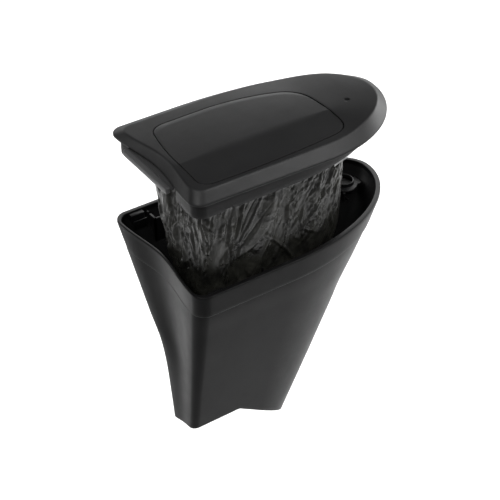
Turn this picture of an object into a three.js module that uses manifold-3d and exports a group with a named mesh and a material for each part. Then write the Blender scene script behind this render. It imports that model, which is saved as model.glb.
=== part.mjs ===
// Lift-out waste bin for a fitted pocket: a tapered shell, a bag ring with its liner bag, and a
// lid with a push flap. The lid, ring and bag are drawn lifted clear above the shell.
// Millimetres, +Z up. X runs along the bin from its hollowed end to its round nose, and -Y is the
// front. Inside the assembly Z = 0 is the top of the shell's rim; the outer group then moves the
// origin to the ledge that hangs the bin in its pocket.
import * as THREE from 'three';
import { mergeGeometries, mergeVertices } from 'three/addons/utils/BufferGeometryUtils.js';
import Module from 'manifold-3d';

const wasm = await Module();
wasm.setup();

// ---------------------------------------------------------------- driving dimensions
const GAP = 0.3; // clearance between pieces that touch
const WALL = 2.4; // moulded wall
const LIFT = 91; // height of the lid's lower edge above the rim, as drawn
const BAND_HEIGHT = 22; // thick band below the rim, along the front
const BAND_STEP = 2.5; // how far the band stands out from the front wall
const LIP_HEIGHT = 3; // upright edge of the rim
const SKIRT_DEPTH = 14; // lid frame skirt below the lid's lower edge
const PLATE_TOP = -0.9; // lid frame plate, under the lid's lower edge
const PLATE_THICK = 2;
const RIDGE_Y = -23; // ridge that runs along the lid and the flap
const RIDGE_Z = 14; // ridge height above the lid's lower edge
const ROOF_SLOPE = 0.0875; // fall of the lid's top on either side of the ridge
const PIN_Z = 6; // flap pin above the lid's lower edge
const PIN_RADIUS = 1.5;
const PIN_CLEARANCE = 0.25;
const FLAP_GAP = 1;
const LEDGE_X = 100; // place of the hanging ledge's mount along the front

// Plan outlines: a straight front and back, a hollowed left end and a half-elliptic nose.
const RIM = {
  left: 2, right: 250, front: -75.5, back: 74.5,
  sag: 6.5, corner: 13, nose: 10, frontRun: 105, backRun: 72,
};
const RIM_MOUTH = { ...RIM, left: 4.8, right: 245.2, front: -70.7, back: 69.7, corner: 10 };
const LID_EDGE = {
  ...RIM, left: 4, right: 246.5, front: -73.1, back: 73.5, corner: 12, frontRun: 142, slant: 3,
};
const LID_CREASE = {
  left: 9.5, right: 230, front: -63, back: 63.5,
  sag: 4.5, corner: 11, nose: -6, frontRun: 144, backRun: 105,
};
const SKIRT = { ...RIM, left: 6.4, right: 239.6, front: -68.2, back: 63.9, corner: 11, sag: 6.2 };
const SKIRT_WALL = 2;
const RING_INSET = 4.7; // bag ring inside the skirt's outside
const RING_END = { from: 185, to: 200 }; // the ring stops short of the nose
const RING_BACK = { from: 35, to: 50 }; // and of the back
const RING_WALL = 2;
const RING_TOP = -5.3; // below the lid's lower edge
const RING_HEIGHT = 8.5;

// One level of a lofted wall: its height and its plan outline there.
const level = ([z, left, right, front, back, sag, corner, nose, frontRun, backRun]) => (
  { z, left, right, front, back, sag, corner, nose, frontRun, backRun }
);

// The shell below the rim, lip and band left out, in the order that `level` takes.
const SHELL_LEVELS = [
  [-3, 2, 250, -73, 74.5, 6.5, 12, 10, 105, 76],
  [-22, 2, 236, -73, 59, 6, 12, 4, 103, 76],
  [-48, 2, 216, -71, 38.5, 5, 11, -5, 100, 74],
  [-72, 1.8, 195, -69, 19, 4, 10, -14, 97, 70],
  [-92, 1.6, 179.5, -67.2, 1, 3, 9, -24, 93, 68],
  [-113, 1.2, 164.6, -65.4, -9, 2, 8, -31, 89, 66],
  [-146, 0.8, 144.8, -62.5, -17, 1, 7, -37, 82, 64],
  [-212, -0.2, 107.8, -57, -30.4, 0, 5.8, -43, 72, 59],
].map(level);

// ---------------------------------------------------------------- outlines and solids
function arc(cx, cy, rx, ry, from, to, steps) {
  return Array.from({ length: steps }, (_, i) => {
    const a = THREE.MathUtils.degToRad(from + ((to - from) * i) / steps);
    return new THREE.Vector2(cx + rx * Math.cos(a), cy + ry * Math.sin(a));
  });
}

function run(x0, y0, x1, y1, steps, bulge = 0) {
  return Array.from({ length: steps }, (_, i) => {
    const t = i / steps;
    const swell = bulge * (0.5 - 0.5 * Math.cos(2 * Math.PI * t));
    return new THREE.Vector2(x0 + (x1 - x0) * t + swell, y0 + (y1 - y0) * t);
  });
}

// Points round a plan outline, anticlockwise from above, the same count for every outline.
// slant moves the left end of the straight front back.
function outline(plan) {
  const { left, right, front, back, sag, corner, nose, frontRun, backRun, slant = 0 } = plan;
  const frontLeft = front + slant;
  return [
    ...arc(left + corner, frontLeft + corner, corner, corner, 180, 270, 5),
    ...run(left + corner, frontLeft, frontRun, front, 4),
    ...arc(frontRun, nose, right - frontRun, nose - front, -90, 0, 12),
    ...arc(backRun, nose, right - backRun, back - nose, 0, 90, 12),
    ...run(backRun, back, left + corner, back, 4),
    ...arc(left + corner, back - corner, corner, corner, 90, 180, 5),
    ...run(left, back - corner, left, frontLeft + corner, 10, sag),
  ];
}

// Moves a closed outline inwards by a distance, along its normals.
function inset(points, distance) {
  const count = points.length;
  return points.map((point, i) => {
    const along = points[(i + 1) % count].clone().sub(points[(i + count - 1) % count]).normalize();
    return new THREE.Vector2(point.x - along.y * distance, point.y + along.x * distance);
  });
}

function mix(a, b, t) {
  return Object.fromEntries(Object.keys(a).map((key) => [key, a[key] + (b[key] - a[key]) * t]));
}

// The shell's outline at any depth.
function shellAt(z) {
  const last = SHELL_LEVELS.length - 2;
  const found = SHELL_LEVELS.findIndex((level, i) => i > 0 && z >= level.z) - 1;
  const i = Math.min(Math.max(found < 0 ? last : found, 0), last);
  const [above, below] = [SHELL_LEVELS[i], SHELL_LEVELS[i + 1]];
  return mix(above, below, (z - above.z) / (below.z - above.z));
}

function ring3(points, z) {
  return points.map((p) => new THREE.Vector3(p.x, p.y, typeof z === 'function' ? z(p) : z));
}

// A closed skin over a stack of rings that run upwards, with fans across both ends.
function loft(rings) {
  const count = rings[0].length;
  const positions = rings.flat().flatMap((p) => [p.x, p.y, p.z]);
  const indices = [];
  for (let level = 0; level + 1 < rings.length; level += 1) {
    for (let i = 0; i < count; i += 1) {
      const a = level * count + i;
      const b = level * count + ((i + 1) % count);
      indices.push(a, b, b + count, a, b + count, a + count);
    }
  }
  for (const [level, flip] of [[0, true], [rings.length - 1, false]]) {
    const centre = rings[level].reduce((sum, p) => sum.add(p), new THREE.Vector3());
    centre.divideScalar(count);
    const hub = positions.length / 3;
    positions.push(centre.x, centre.y, centre.z);
    for (let i = 0; i < count; i += 1) {
      const a = level * count + i;
      const b = level * count + ((i + 1) % count);
      indices.push(...(flip ? [b, a, hub] : [a, b, hub]));
    }
  }
  const geometry = new THREE.BufferGeometry();
  geometry.setAttribute('position', new THREE.Float32BufferAttribute(positions, 3));
  geometry.setIndex(indices);
  return geometry;
}

function solid(geometry) {
  const bare = geometry.clone();
  bare.deleteAttribute('normal');
  bare.deleteAttribute('uv');
  const merged = mergeVertices(bare, 1e-4);
  return new wasm.Manifold(new wasm.Mesh({
    numProp: 3,
    vertProperties: new Float32Array(merged.attributes.position.array),
    triVerts: new Uint32Array(merged.index.array),
  }));
}

function geometryOf(manifold) {
  const mesh = manifold.getMesh();
  const geometry = new THREE.BufferGeometry();
  geometry.setAttribute('position', new THREE.BufferAttribute(mesh.vertProperties, 3));
  geometry.setIndex(new THREE.BufferAttribute(mesh.triVerts, 1));
  return geometry;
}

const prism = (points, low, high) => solid(loft([ring3(points, low), ring3(points, high)]));

function box(x0, x1, y0, y1, z0, z1) {
  const geometry = new THREE.BoxGeometry(x1 - x0, y1 - y0, z1 - z0);
  return solid(geometry.translate((x0 + x1) / 2, (y0 + y1) / 2, (z0 + z1) / 2));
}

// Upright cylinder from z0 to z1.
function post(x, y, radius, z0, z1, sides = 16) {
  const geometry = new THREE.CylinderGeometry(radius, radius, z1 - z0, sides);
  return solid(geometry.rotateX(Math.PI / 2).translate(x, y, (z0 + z1) / 2));
}

// Cylinder lying along X.
function rod(x0, x1, y, z, radius, sides = 16) {
  const geometry = new THREE.CylinderGeometry(radius, radius, x1 - x0, sides);
  return solid(geometry.rotateZ(Math.PI / 2).translate((x0 + x1) / 2, y, z));
}

const union = (parts) => parts.reduce((sum, part) => sum.add(part));

// A slab that follows the ridged top of the lid, from `deep` to `shallow` below it.
const ROOF_SPAN = 200;
function roofProfile(drop) {
  const half = ROOF_SPAN / 2;
  const side = RIDGE_Z - ROOF_SLOPE * half - drop;
  return [[RIDGE_Y - half, side], [RIDGE_Y, RIDGE_Z - drop], [RIDGE_Y + half, side]];
}

function roofSlab(shallow, deep) {
  const points = [...roofProfile(shallow), ...roofProfile(deep).reverse()];
  const shape = new THREE.Shape(points.map(([y, z]) => new THREE.Vector2(y, z)));
  const geometry = new THREE.ExtrudeGeometry(shape, { depth: 300, bevelEnabled: false, steps: 1 });
  // The profile is drawn in (Y, Z) and swept along X.
  const toWorld = new THREE.Matrix4().makeBasis(
    new THREE.Vector3(0, 1, 0), new THREE.Vector3(0, 0, 1), new THREE.Vector3(1, 0, 0),
  );
  return solid(geometry.applyMatrix4(toWorld).translate(-20, 0, LIFT));
}

const roofAt = (y) => RIDGE_Z - ROOF_SLOPE * Math.abs(y - RIDGE_Y);

// ---------------------------------------------------------------- finishes
const finish = (color, roughness, metalness = 0) => (
  new THREE.MeshStandardMaterial({ color, roughness, metalness })
);
const BLACK_SHELL = finish(0x232324, 0.55);
const BLACK_LID = finish(0x2b2b2c, 0.5);
const DARK_FRAME = finish(0x1b1b1c, 0.6);
const GREY_RUBBER = finish(0x4c4c4e, 0.8);
const STEEL = finish(0xb4b6ba, 0.3, 1);
const BAG_FILM = finish(0x33342f, 0.3);
const CHARCOAL = finish(0x3b3a38, 0.9);

const bin = new THREE.Group();
function add(name, manifold, material) {
  const mesh = new THREE.Mesh(geometryOf(manifold), material);
  mesh.name = name;
  bin.add(mesh);
}

// ---------------------------------------------------------------- shell
const skirtOutline = outline(SKIRT);
const FLOOR_THICK = 2.6;
const FLOOR_FRONT = -62; // front edge of the flat of the floor
const FLOOR_Z = -163.6;
const FLOOR_FALL = 0.28; // fall of the floor towards the back
const FLOOR_BEND_X = 52; // where the floor turns down into the toe
const TOE_X = 100;
const TOE_Z = -195.3;
const BAND_RINGS = 0.02; // band outline outside the wall it merges with

function underFloor(raise) {
  const far = 320;
  const slope = (TOE_Z - FLOOR_Z) / (TOE_X - FLOOR_BEND_X);
  const shape = new THREE.Shape([
    new THREE.Vector2(-60, FLOOR_Z + raise),
    new THREE.Vector2(FLOOR_BEND_X, FLOOR_Z + raise),
    new THREE.Vector2(far, FLOOR_Z + raise + slope * (far - FLOOR_BEND_X)),
    new THREE.Vector2(far, -600),
    new THREE.Vector2(-60, -600),
  ].reverse());
  const geometry = new THREE.ExtrudeGeometry(shape, { depth: 300, bevelEnabled: false, steps: 1 });
  geometry.rotateX(Math.PI / 2).translate(0, 150, 0);
  const fall = new THREE.Matrix4().set(
    1, 0, 0, 0, 0, 1, 0, 0, 0, -FLOOR_FALL, 1, FLOOR_FALL * FLOOR_FRONT, 0, 0, 0, 1,
  );
  return solid(geometry.applyMatrix4(fall));
}

const DEPTHS = [-212, -176, -146, -129, -113, -102, -92, -82, -72, -60, -48, -35];
const wallRings = (depths, thick) => depths.map((z) => ring3(inset(outline(shellAt(z)), thick), z));

function shellOutside() {
  const wall = solid(loft(wallRings([...DEPTHS, -BAND_HEIGHT, -10], 0)));
  const bandFoot = { ...shellAt(-BAND_HEIGHT), front: RIM.front, corner: RIM.corner };
  const band = solid(loft([
    ring3(inset(outline(bandFoot), -BAND_RINGS), -BAND_HEIGHT),
    ring3(outline(RIM), -LIP_HEIGHT),
    ring3(outline(RIM), 0),
  ]));
  return wall.add(band);
}

function shellInside() {
  const mouth = outline(RIM_MOUTH);
  return solid(loft([
    ...wallRings([...DEPTHS, -BAND_HEIGHT], WALL),
    ring3(inset(outline(shellAt(-9)), WALL + 0.2), -9),
    ring3(mouth, -5),
    ring3(mouth, 1),
  ]));
}

// Blocks inside the rim that carry the ring's feet, and two stiffening ribs at the front. A
// channel through them all takes the skirt of the seated lid.
const CATCH_TOP = -5;
const CATCH_HEIGHT = 9;
const CHANNEL_FLOOR = -11.8;
const CATCHES = [
  { name: 'front', x0: 17, x1: 32, y0: -71.5, y1: -64.2 },
  { name: 'back', x0: 17, x1: 31, y0: 60, y1: 72 },
  { name: 'rear', x0: 106, x1: 120, y0: 57.6, y1: 71 },
];
const RIB_X = [74, 149];
const RIB_THICK = 1.8;
const RIB_TOP = -1.5;
const RIB_FOOT = -16;
const RIB_REACH = -64.2;

// An L-shaped upright inside the back left of the shell keeps the bag off that corner.
const FIN = { x0: 34, x1: 36, y0: 51.3, y1: 73, top: -3, foot: -50 };
const FIN_FACE = { x1: 66, thick: 2, foot: -30 };

function binBody() {
  const cavity = shellInside().subtract(underFloor(FLOOR_THICK));
  const catches = CATCHES.map((c) => (
    box(c.x0, c.x1, c.y0, c.y1, CATCH_TOP - CATCH_HEIGHT, CATCH_TOP)
  ));
  const ribs = RIB_X.map((x) => (
    box(x - RIB_THICK / 2, x + RIB_THICK / 2, RIM.front + 1, RIB_REACH, RIB_FOOT, RIB_TOP)
  ));
  const fin = box(FIN.x0, FIN.x1, FIN.y0, FIN.y1, FIN.foot, FIN.top);
  const face = box(FIN.x0, FIN_FACE.x1, FIN.y0, FIN.y0 + FIN_FACE.thick, FIN_FACE.foot, FIN.top);
  const trim = shellOutside().subtract(underFloor(0));
  const channel = prism(inset(skirtOutline, -0.5), CHANNEL_FLOOR, 2)
    .subtract(prism(inset(skirtOutline, SKIRT_WALL + 0.4), CHANNEL_FLOOR - 1, 3));
  const fittings = union([...catches, ...ribs, fin, face]).subtract(channel).intersect(trim);
  return trim.subtract(cavity).add(fittings);
}
add('bin_body', binBody(), BLACK_SHELL);

// Deodoriser cup inside the nose: a short open cup with a pointed front lip and a tear hook.
const CUP = { x: 219, y: 8, radius: 12, wall: 1.6, top: -5, height: 12 };
const CUP_ARM = { thick: 3, width: 12, drop: 7 }; // low enough to pass under the seated skirt

function tabletCup() {
  const foot = CUP.top - CUP.height;
  const wall = post(CUP.x, CUP.y, CUP.radius, foot, CUP.top, 28);
  const hollow = post(CUP.x, CUP.y, CUP.radius - CUP.wall, foot + CUP.wall, CUP.top + 1, 28);
  const lip = post(CUP.x, CUP.y, CUP.radius + 1.6, CUP.top - 6, CUP.top - 4, 28);
  const beak = post(CUP.x - 8, CUP.y - 10, 2.6, CUP.top - 9, CUP.top - 4, 3);
  const armX = CUP.x + CUP.radius - 2;
  const arm = box(armX, 238, CUP.y - CUP_ARM.width / 2, CUP.y + CUP_ARM.width / 2,
    CUP.top - CUP_ARM.drop - CUP_ARM.thick, CUP.top - CUP_ARM.drop);
  const room = solid(loft([
    ring3(inset(outline(shellAt(-22)), WALL + GAP + 0.2), -22),
    ring3(inset(outline(shellAt(-9)), WALL + GAP + 0.4), -9),
    ring3(inset(outline(RIM_MOUTH), GAP + 0.2), -4.5),
  ]));
  return union([wall, lip, beak, arm]).subtract(hollow).intersect(room);
}
add('tablet_cup', tabletCup(), DARK_FRAME);
const tabletFoot = CUP.top - CUP.height + CUP.wall + GAP;
add('charcoal_tablet', post(CUP.x, CUP.y, CUP.radius - CUP.wall - 0.5, tabletFoot, tabletFoot + 5, 24),
  CHARCOAL);

// ---------------------------------------------------------------- bag ring and bag
const SEAT_TRAVEL = LIFT - 3; // how far the ring drops to sit in the shell

// Squeezes what lies beyond `from` so that `far` lands on `to`.
const squeeze = (value, { from, to }, far) => (
  value < from ? value : from + ((value - from) * (to - from)) / (far - from)
);
const ringOutline = inset(skirtOutline, RING_INSET).map((p) => new THREE.Vector2(
  squeeze(p.x, RING_END, SKIRT.right - RING_INSET),
  squeeze(p.y, RING_BACK, SKIRT.back - RING_INSET),
));
const ringTop = LIFT + RING_TOP;
const ringFoot = ringTop - RING_HEIGHT;
const GRIP = { y0: -30, y1: 42, outer: 0.5, thick: 2.3, depth: 6.1, clear: 0.5, top: -0.4 };

// The finger grip fills the shell's hollowed end; its neck passes over the rim to the ring.
function grip() {
  const top = LIFT + GRIP.top;
  const neck = box(GRIP.outer, 14, GRIP.y0, GRIP.y1, top - GRIP.thick, top);
  const bar = box(GRIP.outer, 14, GRIP.y0, GRIP.y1, top - GRIP.depth, top);
  const shellEnd = prism(inset(outline(RIM), -GRIP.clear), top - GRIP.depth - 1, top - GRIP.thick);
  const drop = box(11.7, 16.2, GRIP.y0, GRIP.y1, ringTop - 3, top);
  const mouth = prism(inset(ringOutline, RING_WALL), ringFoot - 1, top + 1);
  return bar.subtract(shellEnd).add(neck).add(drop).subtract(mouth);
}

function ringFeet() {
  const foot = CATCH_TOP + GAP + SEAT_TRAVEL;
  return CATCHES.map((c) => {
    const [y0, y1] = c.y0 < 0 ? [-65.8, -61.6] : [47, c.y0 + 1.8];
    return box(c.x0 + 1.5, c.x1 - 1.5, y0, y1, foot, foot + 2.6);
  });
}

function bagRing() {
  const wall = prism(ringOutline, ringFoot, ringTop)
    .subtract(prism(inset(ringOutline, RING_WALL), ringFoot - 1, ringTop + 1));
  const mouth = prism(inset(ringOutline, RING_WALL), ringFoot - 1, ringTop + 1);
  return union([wall, ...ringFeet()]).subtract(mouth).add(grip());
}
add('bag_ring', bagRing(), BLACK_LID);

// The liner hangs inside the ring and tapers so that it drops into the shell with the lid on.
const FILM = 1.4; // the soft wall is drawn thick enough to be a solid
const BAG_ROOM = 1.5; // liner to shell with the lid on
const BAG_TOP = ringTop - 1;
const BAG_LEVELS = [
  [58, 23, 191, -59, 38, 2, 12, -10, 126, 104],
  [30, 21, 186, -60, 28, 1, 14, -12, 122, 98],
  [0, 14, 172, -60, 4, 0, 14, -26, 114, 90],
  [-26, 14, 154, -58.5, -13, 0, 12, -34, 102, 82],
  [-50, 18, 130, -56, -21, 0, 8, -39, 90, 76],
].map(level);

function bagLiner() {
  const levels = [...BAG_LEVELS].reverse();
  const mouth = RING_WALL + GAP + 0.3;
  const skin = (thick, low) => solid(loft([
    ...levels.map((plan, i) => (
      ring3(inset(outline(plan), thick), plan.z + (i === 0 ? low : 0))
    )),
    ring3(inset(ringOutline, mouth + thick), ringFoot - 1),
    ring3(inset(ringOutline, mouth + thick), BAG_TOP + (thick ? 1 : 0)),
  ]));
  // The shell's inside as the seated liner meets it, drawn at the height of the lift.
  const room = (thick) => solid(loft(wallRings([...DEPTHS, -BAND_HEIGHT, -4], WALL + BAG_ROOM + thick)))
    .subtract(underFloor(FLOOR_THICK + BAG_ROOM + thick))
    .add(box(0, 240, -70, 70, -6, 10))
    .translate(0, 0, SEAT_TRAVEL);
  return skin(0, 0).intersect(room(0)).subtract(skin(FILM, FILM).intersect(room(FILM)));
}
add('bag_liner', bagLiner(), BAG_FILM);

// ---------------------------------------------------------------- lid
// The flap's outline: straight front, slanted ends and a wide back right corner.
function flapOutline() {
  const shape = new THREE.Shape();
  shape.moveTo(17.5, -48);
  shape.quadraticCurveTo(17.8, -58.5, 32, -59.2);
  shape.lineTo(60, -59.8);
  shape.quadraticCurveTo(110, -59.8, 155, -56.4);
  shape.quadraticCurveTo(172.5, -54.5, 173, -40);
  shape.lineTo(174, 2);
  shape.quadraticCurveTo(174.5, 26, 152, 35);
  shape.quadraticCurveTo(120, 47.5, 88, 48);
  shape.lineTo(46, 47.5);
  shape.quadraticCurveTo(31, 47, 27.5, 34);
  shape.quadraticCurveTo(19, 4, 17.5, -24);
  shape.closePath();
  return shape.getPoints(7);
}

const FLAP_OPENING = flapOutline();
const LID_THICK = 2.4;
const BEVEL_FOOT = 1.5; // upright edge below the lid's bevel
const lidEdge = outline(LID_EDGE);
const lidCrease = outline(LID_CREASE);

// The bevel runs from the lid's edge up through the crease, and on above it to be cut by the roof.
function lidMass(thick) {
  const rise = 1.4;
  const edge = inset(lidEdge, thick);
  const crease = inset(lidCrease, thick);
  const upper = edge.map((p, i) => {
    const foot = BEVEL_FOOT;
    const top = roofAt(lidCrease[i].y);
    return new THREE.Vector3(
      p.x + (crease[i].x - p.x) * rise,
      p.y + (crease[i].y - p.y) * rise,
      LIFT + foot + (top - foot) * rise,
    );
  });
  const mass = solid(loft([
    ring3(edge, LIFT - (thick ? 1 : 0)),
    ring3(edge, LIFT + BEVEL_FOOT),
    upper,
  ]));
  return mass.intersect(roofSlab(thick, 60));
}

const LID_BOSSES = [[24, 54], [96, 56.5], [168, 44], [212, 6], [187, -40], [96, -63.6]];
const BOSS_RADIUS = 2.8;
const SCREW = { shank: 1.1, hole: 1.4, head: 2.2, headHeight: 1.6, length: 6 };

const BADGE = { x: 196, y: -19, radius: 2.6 };
const opening = prism(FLAP_OPENING, LIFT - 5, LIFT + 20);
function lidCover() {
  const shell = lidMass(0).subtract(lidMass(LID_THICK));
  const plateTop = LIFT + PLATE_TOP + GAP;
  const bosses = union(LID_BOSSES.map(([x, y]) => (
    post(x, y, BOSS_RADIUS, plateTop, LIFT + 12).subtract(
      post(x, y, SCREW.hole, plateTop - 1, LIFT + SCREW.length),
    )
  ))).intersect(lidMass(0));
  const holes = union(LID_BOSSES.map(([x, y]) => (
    post(x, y, SCREW.hole, plateTop - 1, LIFT + SCREW.length)
  )));
  const badge = post(BADGE.x, BADGE.y, BADGE.radius + 0.2, LIFT + RIDGE_Z - 1.6, LIFT + 30, 20);
  return shell.add(bosses).subtract(holes).subtract(opening).subtract(badge);
}
add('lid_cover', lidCover(), BLACK_LID);
add('badge_disc', post(BADGE.x, BADGE.y, BADGE.radius, LIFT + RIDGE_Z - 1.3, LIFT + 30, 20)
  .intersect(roofSlab(0.2, 60)), DARK_FRAME);

// Lid frame: a plate that closes the lid from below, with a skirt that plugs into the rim.
function lidFrame() {
  const top = LIFT + PLATE_TOP;
  const plate = prism(skirtOutline, top - PLATE_THICK, top)
    .subtract(prism(inset(FLAP_OPENING, -1.2), top - 5, top + 1));
  const skirt = prism(skirtOutline, LIFT - SKIRT_DEPTH, top - 0.5)
    .subtract(prism(inset(skirtOutline, SKIRT_WALL), LIFT - SKIRT_DEPTH - 1, top + 1));
  const low = LIFT - SKIRT_DEPTH - 1;
  const latchSlot = box(34, 42, -75, -62, low, LIFT - SKIRT_DEPTH + 2.2);
  const gripSlot = box(0, 16.8, GRIP.y0 - 1.5, GRIP.y1 + 1.5, low, LIFT - 0.1);
  const holes = LID_BOSSES.map(([x, y]) => post(x, y, SCREW.hole, low, LIFT + 1));
  return plate.add(skirt.subtract(latchSlot)).subtract(gripSlot).subtract(union(holes));
}
add('lid_frame', lidFrame(), DARK_FRAME);

LID_BOSSES.forEach(([x, y], i) => {
  const seat = LIFT + PLATE_TOP - PLATE_THICK - GAP;
  const screw = post(x, y, SCREW.shank, seat - 0.5, LIFT + SCREW.length - 1, 12)
    .add(post(x, y, SCREW.head, seat - SCREW.headHeight, seat, 16));
  add(`lid_screw_${i + 1}`, screw, STEEL);
});

// Soft seal under the back half of the flap, which it also stops.
const SEAL = { over: 0.9, under: 2.6, thick: 1.5 };
function flapSeal() {
  const band = prism(inset(FLAP_OPENING, -SEAL.over), LIFT - 2, LIFT + 20)
    .subtract(prism(inset(FLAP_OPENING, SEAL.under), LIFT - 3, LIFT + 21));
  const slab = roofSlab(LID_THICK + GAP, LID_THICK + GAP + SEAL.thick);
  const backHalf = box(-10, 260, RIDGE_Y + 9, 100, LIFT - 5, LIFT + 30);
  return band.intersect(slab).intersect(backHalf);
}
add('flap_seal', flapSeal(), GREY_RUBBER);

// ---------------------------------------------------------------- flap and its hinge
const KNUCKLES = [[26, 36], [154, 164]];
const PIN = { x0: 14.2, x1: 178.6 };
const EYE_RADIUS = 3.6;
const pinZ = LIFT + PIN_Z;
const pinHole = rod(0, 200, RIDGE_Y, pinZ, PIN_RADIUS + PIN_CLEARANCE);

function flapPanel() {
  const plan = prism(inset(FLAP_OPENING, FLAP_GAP), LIFT - 5, LIFT + 30);
  const panel = roofSlab(0, LID_THICK).intersect(plan);
  const under = roofSlab(LID_THICK - 0.6, 60);
  const knuckles = KNUCKLES.map(([x0, x1]) => (
    rod(x0, x1, RIDGE_Y, pinZ, EYE_RADIUS)
      .add(box(x0, x1, RIDGE_Y - 3, RIDGE_Y + 3, pinZ, LIFT + RIDGE_Z))
      .intersect(under)
  ));
  return panel.add(union(knuckles).subtract(pinHole));
}
add('flap_panel', flapPanel(), BLACK_LID);
add('flap_pin', rod(PIN.x0, PIN.x1, RIDGE_Y, pinZ, PIN_RADIUS), STEEL);

// Brackets under the lid cover, just outside the flap, carry the pin's ends.
const BRACKETS = { left: [13.4, 17.3], right: [175.6, 180] };
function hingeBracket([x0, x1]) {
  const foot = LIFT + 0.6;
  return box(x0, x1, RIDGE_Y - 8, RIDGE_Y + 8, foot, LIFT + 8)
    .add(box(x0, x1, RIDGE_Y - 4, RIDGE_Y + 4, foot, LIFT + 10.6))
    .subtract(pinHole)
    .intersect(lidMass(LID_THICK + GAP));
}
Object.entries(BRACKETS).forEach(([side, span]) => {
  add(`hinge_bracket_${side}`, hingeBracket(span), DARK_FRAME);
});

// Return springs: coils round the pin, each with one leg under the flap's back half.
const COIL = { radius: 2.7, wire: 0.35, turns: 4, pitch: 0.95, steps: 12 };
class Coil extends THREE.Curve {
  constructor(x0, hand) {
    super();
    this.x0 = x0;
    this.hand = hand;
  }

  getPoint(t, target = new THREE.Vector3()) {
    const turn = 2 * Math.PI * COIL.turns * t;
    return target.set(
      this.x0 + this.hand * COIL.pitch * COIL.turns * t,
      RIDGE_Y + COIL.radius * Math.cos(turn),
      pinZ + COIL.radius * Math.sin(turn),
    );
  }
}

function spring(x0, hand) {
  const section = new THREE.Shape();
  section.absarc(0, 0, COIL.wire, 0, 2 * Math.PI);
  const geometry = new THREE.ExtrudeGeometry(section, {
    steps: COIL.turns * COIL.steps, curveSegments: 3, bevelEnabled: false,
    extrudePath: new Coil(x0, hand),
  });
  return solid(geometry);
}
add('flap_spring_left', spring(37.5, 1), STEEL);
add('flap_spring_right', spring(152.5, -1), STEEL);

// The origin is the middle of the ledge under the front band, where the bin hangs.
bin.position.set(-LEDGE_X, -(RIM.front + BAND_STEP / 2), BAND_HEIGHT);
const part = new THREE.Group();
part.add(bin);
export default part;
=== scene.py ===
"""Looks for the drop-in waste bin: smooth moulded shells, a crumpled film bag and studio light.

All shapes are worked out in millimetres in the rim frame: X along the bin from its hollowed end
to its nose, -Y to the front, Z = 0 at the top of the shell's rim. place() moves them to the row.
"""
import math

import bmesh
import bpy
import numpy as np
from mathutils import Matrix, Vector


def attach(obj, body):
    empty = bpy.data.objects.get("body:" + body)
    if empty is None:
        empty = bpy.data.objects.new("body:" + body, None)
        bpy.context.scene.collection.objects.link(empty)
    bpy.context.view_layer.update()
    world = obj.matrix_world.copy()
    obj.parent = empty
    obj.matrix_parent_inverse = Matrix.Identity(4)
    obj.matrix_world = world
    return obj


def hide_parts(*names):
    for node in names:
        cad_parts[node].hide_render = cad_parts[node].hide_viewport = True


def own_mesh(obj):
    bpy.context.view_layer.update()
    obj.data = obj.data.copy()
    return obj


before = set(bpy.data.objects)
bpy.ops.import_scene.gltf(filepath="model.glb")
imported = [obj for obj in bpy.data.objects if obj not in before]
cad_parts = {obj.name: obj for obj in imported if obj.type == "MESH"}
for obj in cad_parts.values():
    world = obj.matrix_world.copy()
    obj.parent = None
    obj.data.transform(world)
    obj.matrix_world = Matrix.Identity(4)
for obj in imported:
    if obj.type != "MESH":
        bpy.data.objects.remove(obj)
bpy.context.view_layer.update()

# ------------------------------------------------------------------ driving dimensions
RIM_TO_ROW = np.array([-100.0, 74.25, 22.0])
WALL = 2.4
LIFT = 91.0  # lower edge of the raised lid above the rim
BAND_HEIGHT = 22.0
LIP_RADIUS = 0.9  # outer edge of the rim
MOUTH_RADIUS = 0.8  # inner edge of the rim
BAND_EDGE = 0.9  # radius of the band's lower edge
MOUTH_STEP = -4.2  # where the mouth starts to open to the wall's inside
SEAT_DEPTH = -9.0  # where it meets the wall's inside
SKIRT_DEPTH = 14.0
SKIRT_WALL = 2.0
PLATE_TOP = -0.9  # lid frame's plate below the lid's lower edge
PLATE_THICK = 2.0
RIDGE_Y = -23.0  # ridge along the lid and the flap, over the hinge pin
RIDGE_Z = 14.0
ROOF_SLOPE = 0.0875
FLAP_GAP = 1.0
PIN_Z = 6.0
PIN_BORE = 1.75
EYE_RADIUS = 3.6  # boss round the hinge pin
EYE_WEB = 3.2  # half width of the boss's web
FLOOR_THICK = 2.6
FLOOR_EDGE_OUT = 1.6  # radius between the floor and the wall outside
FLOOR_EDGE_IN = 2.0  # the same inside
INNER_TOP = -14.0  # where the inner wall takes over from the mouth
FLOOR_FRONT = -62.0
FLOOR_Z = -163.6
FLOOR_FALL = 0.28  # fall of the floor towards the back
FLOOR_BEND_X = 52.0  # where the floor turns down into the toe
TOE_X = 100.0
TOE_Z = -195.3
RING_INSET = 4.7
RING_WALL = 2.0
RING_TOP = -5.3
RING_HEIGHT = 8.5
GRIP_Y = (-30.0, 42.0)
GRIP_FACE = 0.5
GRIP_TOP = LIFT - 0.4
GRIP_DEEP = 6.1
NECK_THICK = 1.1
NECK_FOOT = GRIP_TOP - 2.3
STRIP_END = 6.4  # inner edge of the crowned strip on the grip
BADGE_AT = (196.0, -19.0)
BADGE_RADIUS = 2.6
SEAT_Z = LIFT + RIDGE_Z - 1.6  # floor of the badge's seat
CHANNEL_FLOOR = -11.8  # bottom of the seated skirt's channel in the catches
CATCH_SPANS = ((17, 32, -72.2, -64.2), (17, 31, 60, 71.2), (106, 120, 57.6, 69.5))
CUP_AT = (219.0, 8.0)
CUP_TOP = -5.0

# A plan is a D: straight front and back, a hollow left end, and a nose of two quarter ellipses.
PLAN_KEYS = ("left", "right", "front", "back", "sag", "corner", "nose", "front_run", "back_run")


def plan(*values):
    return dict(zip(PLAN_KEYS, values))


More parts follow.
